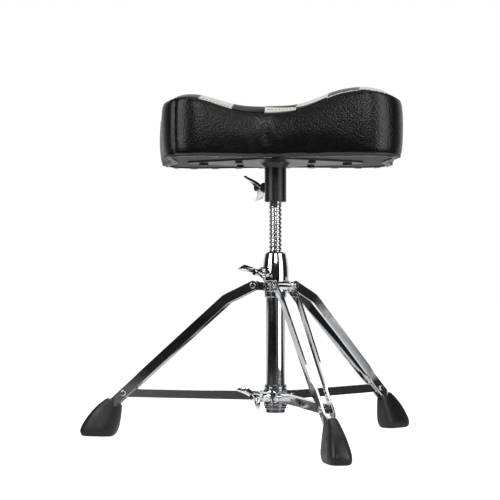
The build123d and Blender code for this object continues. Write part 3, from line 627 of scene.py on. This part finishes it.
# %% Rows of the side band and of the top panel
SEAM_DROP = 12 * MM
SIDE_SEAM = Vector((-150 * MM, -125 * MM, 0))  # where the side band's ends are sewn together


def plan_nearest(spot):
    """Number of the plan point nearest to a spot."""
    return min(range(RING), key=lambda i: (plan[i].xy - spot.xy).length)


def seam_height(i):
    return tops[i] - SEAM_DROP


side_seam_at = plan_nearest(column + SIDE_SEAM)


def side_row(inset, rise=None, share=None):
    """A ring on the side band, at a rise above the hem or at a share of the way up to the seam."""
    ring = []
    for i, p in enumerate(plan):
        height = SEAT_FLOOR + rise if share is None else SEAT_FLOOR + share * (seam_height(i) - SEAT_FLOOR)
        pucker = 0.0
        if share is not None or rise > 4 * MM:
            away = min(abs(i - side_seam_at), RING - abs(i - side_seam_at))
            pucker = 2.2 * MM * math.exp(-(away / 0.8) ** 2)
        point = p - outward[i] * (inset + pucker)
        ring.append(Vector((point.x, point.y, height)))
    return ring


def fullness(x):
    """How squarely the top panel stands up from its seam: fully at the waist, gently on the lobes."""
    return 0.15 + 0.85 * math.exp(-((x - column.x + 15 * MM) / (75 * MM)) ** 2)


plan_tree = KDTree(RING)
for i, p in enumerate(plan):
    plan_tree.insert(Vector((p.x, p.y, 0)), i)
plan_tree.balance()


def crown_height(x, y, inset=None):
    """Height of the top panel over a place in plan, from how far it stands in from the saddle's edge."""
    if inset is None:
        inset = plan_tree.find(Vector((x, y, 0)))[2]
    reach = (5 + 22 * (1 - fullness(x))) * MM
    return top_height(x) - SEAM_DROP * math.exp(-max(0.0, inset - 1.0 * MM) / reach)


def crown_row(inset):
    """A ring of the top panel close to its edge."""
    ring = []
    for i, p in enumerate(plan):
        point = p - outward[i] * inset
        ring.append(Vector((point.x, point.y, crown_height(p.x, p.y, inset))))
    return ring


def top_row(share, edge_ring):
    """A ring of the top panel, a share of the way in to the middle, on the saddle's own curve."""
    ring = []
    for start in edge_ring:
        point = start.lerp(Vector((column.x, column.y, start.z)), share)
        ring.append(Vector((point.x, point.y, crown_height(point.x, point.y))))
    return ring


hem_rows = [side_row(14 * MM, 0.2 * MM), side_row(9.5 * MM, 0.0), side_row(5.5 * MM, 0.9 * MM),
            side_row(2.8 * MM, 3.2 * MM), side_row(1.0 * MM, 7.0 * MM), side_row(0.1 * MM, 12 * MM)]
side_rows = [side_row(-1.4 * MM * math.sin(math.pi * s) ** 0.7, share=0.18 + 0.74 * s)
             for s in [k / 11 for k in range(12)]]
seam_rows = [side_row(0.5 * MM, share=0.955), side_row(1.2 * MM, share=0.985), side_row(2.9 * MM, share=1.0)]
crown_rows = [crown_row(inset * MM) for inset in (1.5, 2.2, 3.4, 5.4, 8.5)]
shares = [0.05, 0.11, 0.18]
edge_ring = crown_row(10 * MM)
top_rows = [top_row(s, edge_ring) for s in shares]
all_rows = hem_rows + side_rows + seam_rows + crown_rows + top_rows
print("cushion rows", len(all_rows), "of", RING, "points")

# %% [markdown]
# ## Sewing and filling the cushion
# The rings are skinned into one closed shape. A short cloth simulation then blows it up from inside, with
# the hem and the seam held by pins, so the vinyl puffs between them as it does over foam. The swelling is
# kept to a few millimetres, because the panel of a throne is firm.

# %% Skin the cushion and puff it
HEM_ROWS = 4
SEAM_ROW = len(hem_rows) + len(side_rows) + len(seam_rows) - 1
cushion = loft(all_rows, close_start=False, close_end=False)
cushion.name = "saddle_cushion"


def fill_crown(skin, ring_length, drop):
    """Closes the top's last ring with a grid of small squares, and lays it on the saddle's curve."""
    known = len(skin.data.vertices)
    top = max(v.co.z for v in skin.data.vertices)
    take(skin)
    bpy.ops.object.mode_set(mode="EDIT")
    bpy.ops.mesh.select_mode(type="EDGE")
    bpy.ops.mesh.select_all(action="DESELECT")
    edit = bmesh.from_edit_mesh(skin.data)
    for edge in edit.edges:
        if edge.is_boundary and edge.verts[0].co.z > top - 60 * MM:
            edge.select_set(True)
    edit.select_flush_mode()
    bmesh.update_edit_mesh(skin.data)
    bpy.ops.mesh.fill_grid(span=ring_length // 4)
    bpy.ops.mesh.select_mode(type="VERT")
    bpy.ops.object.mode_set(mode="OBJECT")
    for vertex in skin.data.vertices[known:]:
        vertex.co.z = crown_height(vertex.co.x, vertex.co.y) - drop
    return known


first_grid_vertex = fill_crown(cushion, RING, 0.0)
in_grid = len(cushion.data.vertices) - first_grid_vertex
print("cushion", len(cushion.data.vertices), "points,", in_grid, "in the grid")

tree_points = {}
for row_number, row in enumerate(all_rows):
    for point in row:
        tree_points[(round(point.x, 5), round(point.y, 5), round(point.z, 5))] = row_number
row_of = [tree_points.get(tuple(round(c, 5) for c in v.co), len(all_rows)) for v in cushion.data.vertices]

pins = cushion.vertex_groups.new(name="sewn")
for vertex in cushion.data.vertices:
    row_number = row_of[vertex.index]
    if row_number < HEM_ROWS:
        pins.add([vertex.index], 1.0, "REPLACE")
    elif abs(row_number - SEAM_ROW) <= 1:
        pins.add([vertex.index], 1.0 if row_number == SEAM_ROW else 0.7, "REPLACE")
    elif row_number > SEAM_ROW + 5:
        pins.add([vertex.index], 0.35, "REPLACE")


def puff(piece, frames, pressure, cap):
    """Blows a closed shape up by cloth simulation, then keeps every point within the cap of its start."""
    start = [v.co.copy() for v in piece.data.vertices]
    take(piece)
    bpy.ops.object.modifier_add(type="CLOTH")
    cloth = piece.modifiers[-1]
    cloth.settings.quality = 6
    cloth.settings.mass = 0.4
    cloth.settings.tension_stiffness = 12
    cloth.settings.compression_stiffness = 12
    cloth.settings.shear_stiffness = 6
    cloth.settings.bending_stiffness = 1.5
    cloth.settings.use_pressure = True
    cloth.settings.uniform_pressure_force = pressure
    cloth.settings.vertex_group_mass = "sewn"
    cloth.settings.pin_stiffness = 1.0
    cloth.settings.effector_weights.gravity = 0
    cloth.collision_settings.use_collision = False
    scene = bpy.context.scene
    scene.frame_start = 1
    scene.frame_end = frames
    for number in range(1, frames + 1):
        scene.frame_set(number)
    bpy.ops.object.modifier_apply(modifier=cloth.name)
    scene.frame_set(1)
    moved = 0.0
    for vertex, place in zip(piece.data.vertices, start):
        step = vertex.co - place
        if step.length > cap:
            vertex.co = place + step.normalized() * cap
        moved = max(moved, min(step.length, cap))
    return moved


PUFF_FRAMES = 12
PUFF_PRESSURE = 3.0
PUFF_MOST = 4 * MM
puffed = puff(cushion, PUFF_FRAMES, PUFF_PRESSURE, PUFF_MOST)
print("cushion puffed by up to", round(puffed / MM, 1), "mm")

# %% [markdown]
# ## Wrinkles, and parting the two vinyls
# Vinyl that is pulled round a lobe and stapled under the board makes shallow folds that fade as they rise.
# Their depth changes round the edge with a noise. After them the skin is split at the seam, so that the side
# band and the top panel are two pieces, as they are when they are cut out and sewn.

# %% Shape the pulls, then part the panels
for vertex in cushion.data.vertices:
    row_number = row_of[vertex.index]
    if not 2 <= row_number < SEAM_ROW:
        continue
    above = (vertex.co.z - SEAT_FLOOR) / (60 * MM)
    fade = max(0.0, 1.0 - above) ** 2
    angle = math.atan2(vertex.co.y - column.y, vertex.co.x - column.x)
    ripple = noise.noise(Vector((math.cos(angle) * 9, math.sin(angle) * 9, 0.4)))
    out = Vector((math.cos(angle), math.sin(angle), 0))
    vertex.co += out * ripple * 1.2 * MM * fade
    broad = noise.noise(Vector((vertex.co.x * 16, vertex.co.y * 16, vertex.co.z * 22)))
    vertex.co += out * broad * 0.8 * MM * (1 - fade)

cushion.data.materials.clear()
cushion.data.materials.append(side_vinyl)
cushion.data.materials.append(top_vinyl)
for face in cushion.data.polygons:
    rows = [row_of[v] for v in face.vertices]
    face.material_index = 1 if min(rows) >= SEAM_ROW else 0
take(cushion)
bpy.ops.object.mode_set(mode="EDIT")
bpy.ops.mesh.select_all(action="SELECT")
bpy.ops.mesh.separate(type="MATERIAL")
bpy.ops.object.mode_set(mode="OBJECT")
halves = {half.data.materials[0] == top_vinyl: half for half in bpy.context.selected_objects}
side_band, top_panel = halves[False], halves[True]
for half in (side_band, top_panel):
    take(half)
    bpy.ops.object.modifier_add(type="SUBSURF")
    half.modifiers[-1].levels = 1
    half.modifiers[-1].render_levels = 1
    apply_all(half)
settle(side_band, "saddle_side_band", "seat", side_vinyl, 80)
settle(top_panel, "saddle_top_panel", "seat", top_vinyl, 80)
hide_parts("seat_side_cover")
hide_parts("seat_top_cover")

# %% [markdown]
# ## Foam under the skin
# Nobody sees the foam, but the throne is built of real pieces, so it has one: the same rings set a few
# millimetres in, coarser, and resting on the board.

# %% Foam block
board_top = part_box("seat_board")[1][2] + 0.3 * MM


def shrink(ring, inset, drop, floor):
    """A coarser copy of a ring, set in from the plan and lowered, kept above the board."""
    step = 4
    return [Vector((p.x, p.y, max(p.z - drop, floor))) - outward[i * step] * inset
            for i, p in enumerate(ring[::step])]


foam_rows = [shrink(side_row(0.0, share=0.22), 5 * MM, 0.0, board_top)]
for p in foam_rows[0]:
    p.z = board_top
foam_rows += [shrink(r, 4 * MM, 1 * MM, board_top + 2 * MM) for r in side_rows[3:] + [crown_rows[1]]]
foam_rows += [shrink(r, 4 * MM, 4 * MM, board_top + 4 * MM) for r in (crown_rows[3], top_rows[2])]
foam = loft(foam_rows, close_end=False)
fill_crown(foam, len(foam_rows[0]), 4 * MM)
settle(foam, "saddle_foam", "seat", cushion_foam, 60)
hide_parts("seat_foam")

# %% [markdown]
# ## Stitches along the seam
# The side band and the top panel are joined by a lockstitch that shows as a row of short raised dashes just
# above the seam. One stitch is modelled and copied along the edge, tilted to follow it.

# %% A row of stitches
STITCH_PITCH = 5.2 * MM
STITCH_LONG = 3.6 * MM
STITCH_R = 0.42 * MM


def stitch_along(points, normals, name):
    """Copies one small rounded stitch along a closed line of points."""
    bpy.ops.object.select_all(action="DESELECT")
    bpy.ops.mesh.primitive_uv_sphere_add(segments=6, ring_count=4, radius=1.0)
    one = bpy.context.object
    row = bpy.data.meshes.new(name)
    verts, faces = [], []
    lengths = [0.0]
    count = len(points)
    for i in range(count):
        lengths.append(lengths[-1] + (points[(i + 1) % count] - points[i]).length)
    at = 0
    total = int(lengths[-1] / STITCH_PITCH)
    for number in range(total):
        goal = lengths[-1] * number / total
        while lengths[at + 1] < goal:
            at += 1
        first, second = points[at], points[(at + 1) % count]
        spot = first.lerp(second, (goal - lengths[at]) / (lengths[at + 1] - lengths[at]))
        along = (second - first).normalized()
        out = normals[at]
        up = along.cross(out)
        base = len(verts)
        for v in one.data.vertices:
            local = along * v.co.x * STITCH_LONG / 2 + out * v.co.y * STITCH_R + up * v.co.z * STITCH_R
            verts.append(spot + local)
        faces += [[base + k for k in f.vertices] for f in one.data.polygons]
    row.from_pydata(verts, [], faces)
    bpy.data.objects.remove(one)
    piece = bpy.data.objects.new(name, row)
    bpy.context.scene.collection.objects.link(piece)
    return piece


skin_tree = tree_of(top_panel.data)
stitch_line = [skin_tree.find_nearest(p)[0] for p in crown_row(4.0 * MM)]
stitches = stitch_along(stitch_line, outward, "top_stitches")
merge_and_face_out(stitches)
settle(stitches, "top_stitches", "seat", seam_thread, 60)

# %% [markdown]
# ## The screw thread
# A screw thread is one small outline swept round and up. The Screw modifier does exactly this: the outline
# is one pitch tall, and each turn lifts it by one pitch, so the turns meet. The plain ends and the core are
# turned cylinders that close the shape.

# %% Spindle with a real helix
spindle_low, spindle_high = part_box("spindle")
SPINDLE_R = (spindle_high[0] - spindle_low[0]) / 2
PITCH = 6.35 * MM
DEPTH = 1.5 * MM
TURNS = 31
thread_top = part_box("seat_socket_tube")[0][2] - 5 * MM
thread_foot = thread_top - TURNS * PITCH

THREAD_FORM = [(0.0, 0.0), (0.10, 0.15), (0.20, 0.75), (0.28, 1.0), (0.46, 1.0), (0.54, 0.75), (0.64, 0.15),
               (0.74, 0.0), (1.0, 0.0)]
outline = bpy.data.meshes.new("thread_outline")
outline.from_pydata([(SPINDLE_R - DEPTH * cut, 0.0, thread_foot + PITCH * rise) for rise, cut in THREAD_FORM],
                    [(k, k + 1) for k in range(len(THREAD_FORM) - 1)], [])
thread = bpy.data.objects.new("thread", outline)
bpy.context.scene.collection.objects.link(thread)
take(thread)
bpy.ops.object.modifier_add(type="SCREW")
screw = thread.modifiers[-1]
screw.axis = "Z"
screw.angle = math.tau
screw.screw_offset = PITCH
screw.iterations = TURNS - 1
screw.steps = 40
screw.render_steps = 40
screw.use_merge_vertices = False
apply_all(thread)
for vertex in thread.data.vertices:
    vertex.co += column
merge_and_face_out(thread)


def rod(radius, foot, top, bevel_width, sides=64):
    """A turned rod on the column's axis with bevelled ends."""
    bpy.ops.object.select_all(action="DESELECT")
    bpy.ops.mesh.primitive_cylinder_add(vertices=sides, radius=radius, depth=top - foot,
                                        location=(column.x, column.y, (foot + top) / 2))
    piece = bpy.context.object
    bpy.ops.object.transform_apply(location=True)
    bpy.ops.object.modifier_add(type="BEVEL")
    piece.modifiers[-1].width = bevel_width
    piece.modifiers[-1].segments = 2
    piece.modifiers[-1].angle_limit = math.radians(60)
    apply_all(piece)
    return piece


core = rod(SPINDLE_R - DEPTH * 0.98, spindle_low[2], spindle_high[2] - 1 * MM, 0.5 * MM)
plain_top = rod(SPINDLE_R - 0.05 * MM, thread_top - 2.5 * MM, spindle_high[2], 0.8 * MM)
plain_foot = rod(SPINDLE_R - 0.05 * MM, spindle_low[2], thread_foot + 6 * MM, 0.8 * MM)
spindle = join([thread, core, plain_top, plain_foot])
settle(spindle, "screwed_spindle", "spindle", spindle_steel, 40)
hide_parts("spindle")

# %% [markdown]
# ## Wing bolts
# A wing bolt is cast: a stout hub with two wings that sweep outwards and end in rounded tips. Here the hub
# is a cylinder, and each wing a cube stretched, cut across and swept, then rounded by subdivision. The
# place and the direction of each bolt come from the frame's matching clamp pad, and its turn is given.

# %% Cast a wing bolt on each of the three places
WING_REACH = 22 * MM
HUB_R = 5.6 * MM


def wing(side):
    """One wing: a cube cut into six along its length, swept outwards and narrowed to a soft tip."""
    bpy.ops.object.select_all(action="DESELECT")
    bpy.ops.mesh.primitive_cube_add(size=1.0)
    piece = bpy.context.object
    bpy.ops.object.mode_set(mode="EDIT")
    bpy.ops.mesh.select_all(action="SELECT")
    bpy.ops.mesh.subdivide(number_cuts=5)
    bpy.ops.object.mode_set(mode="OBJECT")
    for vertex in piece.data.vertices:
        reach = vertex.co.y + 0.5
        sweep = 13 * MM * reach ** 1.7
        depth = vertex.co.x * (8.5 + 5.5 * reach) * MM
        thick = vertex.co.z * (5.6 - 2.0 * reach) * MM
        twist = side * math.radians(30) * reach
        vertex.co = Vector((
            sweep + depth * math.cos(twist) - thick * math.sin(twist),
            side * (2.5 * MM + reach * (WING_REACH - 2.5 * MM)),
            depth * math.sin(twist) + thick * math.cos(twist),
        ))
    bpy.ops.object.modifier_add(type="SUBSURF")
    piece.modifiers[-1].levels = 2
    piece.modifiers[-1].render_levels = 2
    apply_all(piece)
    merge_and_face_out(piece)
    return piece


def wing_bolt(node, name, body, hub_reach, roll):
    """A cast wing bolt along the frame's bolt: shank, hub and two wings."""
    pad = node_middle(node.replace("wing_bolt", "clamp_pad"))
    out = pad - column
    height = out.z
    out.z = 0.0
    start = out.length
    out.normalize()
    parts = []
    for radius, foot, top, taper in ((4.0 * MM, start + 1.6 * MM, hub_reach, 0.0),
                                     (HUB_R, hub_reach - 6 * MM, hub_reach + 7 * MM, 0.12)):
        bpy.ops.object.select_all(action="DESELECT")
        bpy.ops.mesh.primitive_cylinder_add(vertices=40, radius=radius, depth=top - foot)
        piece = bpy.context.object
        for vertex in piece.data.vertices:
            along = vertex.co.z + (top - foot) / 2
            slim = 1.0 - taper * along / (top - foot)
            vertex.co = Vector((foot + along, vertex.co.x * slim, vertex.co.y * slim))
        bpy.ops.object.modifier_add(type="BEVEL")
        piece.modifiers[-1].width = 0.9 * MM
        piece.modifiers[-1].segments = 3
        piece.modifiers[-1].angle_limit = math.radians(50)
        apply_all(piece)
        merge_and_face_out(piece)
        parts.append(piece)
    for side in (1, -1):
        piece = wing(side)
        for vertex in piece.data.vertices:
            vertex.co.x += hub_reach
        parts.append(piece)
    bolt = join(parts)
    turn = Matrix.Rotation(math.atan2(out.y, out.x), 4, "Z") @ Matrix.Rotation(math.radians(roll), 4, "X")
    bolt.data.transform(Matrix.Translation(column + Vector((0, 0, height))) @ turn)
    settle(bolt, name, body, wing_chrome, 50)
    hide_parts(node)
    return bolt


wing_bolt("seat_wing_bolt", "seat_wing_casting", "seat_wing", 32 * MM, 47)
wing_bolt("nut_wing_bolt", "nut_wing_casting", "nut_wing", 38 * MM, -18)
wing_bolt("collar_wing_bolt", "collar_wing_casting", "collar_wing", 44 * MM, -38)

# %% [markdown]
# ## Rubber feet
# Each foot is moulded round the ends of the two bars. It leans outwards, is widest just above the floor,
# and narrows to a collar that grips the bars. Its rings are soft rectangles that tilt as they climb.

# %% Mould the three feet
FOOT_RINGS = [  # middle radius, height, tilt in degrees, half length, half width, in millimetres
    (277, 0.0, 0, 22.0, 13.2), (277, 0.7, 0, 24.2, 15.0), (277, 3.5, 0, 26.6, 16.3),
    (276.2, 8.5, 2, 28.6, 16.8), (273.6, 14, 4, 28.2, 16.4), (270.4, 21, 7, 26.6, 15.2),
    (266.4, 29, 10, 24.4, 13.5), (261.8, 37, 14, 21.4, 11.5), (257.4, 44, 18, 18.0, 9.7),
    (253.6, 49.2, 22, 14.8, 8.5), (251.6, 51.8, 25, 13.2, 8.0), (250.9, 52.8, 25, 12.2, 7.2),
    (250.9, 52.6, 25, 10.6, 5.8),
]
FOOT_POINTS = 48


def soft_rectangle(angle, half_long, half_wide):
    """A point of a rounded rectangle."""
    c, s = math.cos(angle), math.sin(angle)
    power = 2 / 3.4
    return (half_long * math.copysign(abs(c) ** power, c), half_wide * math.copysign(abs(s) ** power, s))


def rubber_foot(leg):
    out = leg_direction(leg)
    side = Vector((-out.y, out.x, 0))
    rings = []
    for middle, height, tilt, half_long, half_wide in FOOT_RINGS:
        ring = []
        for k in range(FOOT_POINTS):
            a, w = soft_rectangle(math.tau * k / FOOT_POINTS, half_long, half_wide)
            radius = middle + a * math.cos(math.radians(tilt))
            rise = max(0.0, height + a * math.sin(math.radians(tilt)))
            ring.append(column + out * radius * MM + side * w * MM + Vector((0, 0, rise * MM)))
        rings.append(ring)
    foot = loft(rings)
    bpy.ops.object.modifier_add(type="SUBSURF")
    foot.modifiers[-1].levels = 1
    foot.modifiers[-1].render_levels = 1
    apply_all(foot)
    for vertex in foot.data.vertices:
        vertex.co.z = max(vertex.co.z, 0.0)
    settle(foot, f"{leg}_rubber_foot", f"{leg}_leg", foot_rubber, 60)
    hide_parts(f"{leg}_leg_foot")


for leg in LEGS:
    rubber_foot(leg)

# %% [markdown]
# ## Floor
# The throne stands on a plain pale floor that fades into a white background. Chrome shows everything round
# it, so the floor glows only close under the throne and far behind it: those are the light parts that the
# bars and the tube reflect, and the dark parts between them make the metal look like metal.

# %% Floor
GLOW_UNDER = (0.22, 0.45)  # from full to none, in metres from the column
GLOW_BEHIND = (0.5, 1.0)  # from none to full, in metres behind the frame's middle
GLOW = 0.42
GLOW_SEEN = 0.95
PALE = (0.86, 0.86, 0.86)
DARK = (0.02, 0.02, 0.02)
bpy.ops.object.select_all(action="DESELECT")
bpy.ops.mesh.primitive_plane_add(size=20.0, location=(0, 3, 0))
bpy.ops.object.transform_apply(location=True)
floor = bpy.context.object
floor.name = "studio_floor"
floor_paint, floor_tree, floor_shader = finish("floor_paint", PALE, roughness=0.75)
floor_shader.inputs["Emission Color"].default_value = (1, 1, 1, 1)
to_eye = add_node(floor_tree, "ShaderNodeLightPath").outputs["Is Camera Ray"]
from_middle = add_node(floor_tree, "ShaderNodeVectorMath", operation="DISTANCE")
from_middle.inputs[1].default_value = column
floor_tree.links.new(object_place(floor_tree), from_middle.inputs[0])
under = ramp(floor_tree, from_middle.outputs["Value"], *GLOW_UNDER, 1.0, 0.0)
spread = add_node(floor_tree, "ShaderNodeSeparateXYZ")
floor_tree.links.new(object_place(floor_tree), spread.inputs[0])
behind = ramp(floor_tree, spread.outputs["Y"], *GLOW_BEHIND)
near = math_node(floor_tree, "MAXIMUM", under, behind)
lit = math_node(floor_tree, "MAXIMUM", math_node(floor_tree, "MULTIPLY", near, GLOW),
                math_node(floor_tree, "MULTIPLY", to_eye, GLOW_SEEN))
floor_tree.links.new(lit, floor_shader.inputs["Emission Strength"])
bounce = math_node(floor_tree, "MAXIMUM", near, to_eye)
floor_tree.links.new(blend_color(floor_tree, bounce, DARK, PALE), floor_shader.inputs["Base Color"])
floor.data.materials.append(floor_paint)
print("floor", tuple(round(d, 1) for d in floor.dimensions))

# %% [markdown]
# ## The room
# The room is dark with a bright backdrop behind the throne, which draws the thin light edges of the tube.
# Only the camera sees white all round.

# %% World
world = bpy.data.worlds.new("studio")
bpy.context.scene.world = world
world.use_nodes = True
sky = world.node_tree
background = sky.nodes["Background"]
seen = add_node(sky, "ShaderNodeLightPath").outputs["Is Camera Ray"]
facing = add_node(sky, "ShaderNodeSeparateXYZ")
sky.links.new(add_node(sky, "ShaderNodeTexCoord").outputs["Generated"], facing.inputs[0])
backdrop = ramp(sky, facing.outputs["Y"], 0.45, 0.75, 0.02, 0.85)
room = blend_color(sky, backdrop, (0.0, 0.0, 0.0), (1.0, 1.0, 1.0))
sky.links.new(blend_color(sky, seen, room, (1.0, 1.0, 1.0)), background.inputs["Color"])
print("world", world.name)

# %% [markdown]
# ## Soft boxes
# Two tall soft boxes stand in front, left and right, and polished metal shows them as two white stripes.
# A small one fills the front, and a large one overhead lights the top of the saddle.

# %% Soft boxes
def soft_box(name, azimuth, distance, height, width, tall, power):
    """A tall area light that faces the column. Azimuth is measured from the camera's side, right positive."""
    a = math.radians(azimuth)
    spot = Vector((column.x + distance * math.sin(a), column.y - distance * math.cos(a), height))
    lamp = bpy.data.lights.new(name, "AREA")
    lamp.shape = "RECTANGLE"
    lamp.size = width
    lamp.size_y = tall
    lamp.energy = power
    light = bpy.data.objects.new(name, lamp)
    bpy.context.scene.collection.objects.link(light)
    light.location = spot
    aim = Vector((column.x, column.y, height)) - spot
    light.rotation_euler = aim.to_track_quat("-Z", "Y").to_euler()
    return light


soft_box("left_box", -54, 1.6, 1.10, 0.85, 1.70, 15.0)
soft_box("right_box", 52, 1.6, 0.93, 0.90, 1.84, 15.0)
soft_box("front_box", 4, 2.2, 1.15, 0.75, 0.50, 9.0)
overhead = soft_box("overhead", 0, 0.01, 2.4, 1.6, 1.6, 14.0)
overhead.rotation_euler = (0, 0, 0)

# %% [markdown]
# ## Camera
# A long lens, nearly level with the middle of the throne, keeps its verticals straight and its legs in
# true proportion.

# %% Camera
CAMERA_FAR = 2.139
CAMERA_HIGH = 0.2375
eye = bpy.data.cameras.new("camera")
eye.lens = 104.4
eye.sensor_width = 36.0
eye.clip_end = 50.0
camera = bpy.data.objects.new("camera", eye)
bpy.context.scene.collection.objects.link(camera)
camera.location = (column.x, column.y - CAMERA_FAR, CAMERA_HIGH)
camera.rotation_euler = (math.radians(90 + 1.166), 0, math.radians(1.007))
bpy.context.scene.camera = camera
bpy.context.scene.view_settings.view_transform = "Standard"
print("camera", tuple(round(c, 3) for c in camera.location))
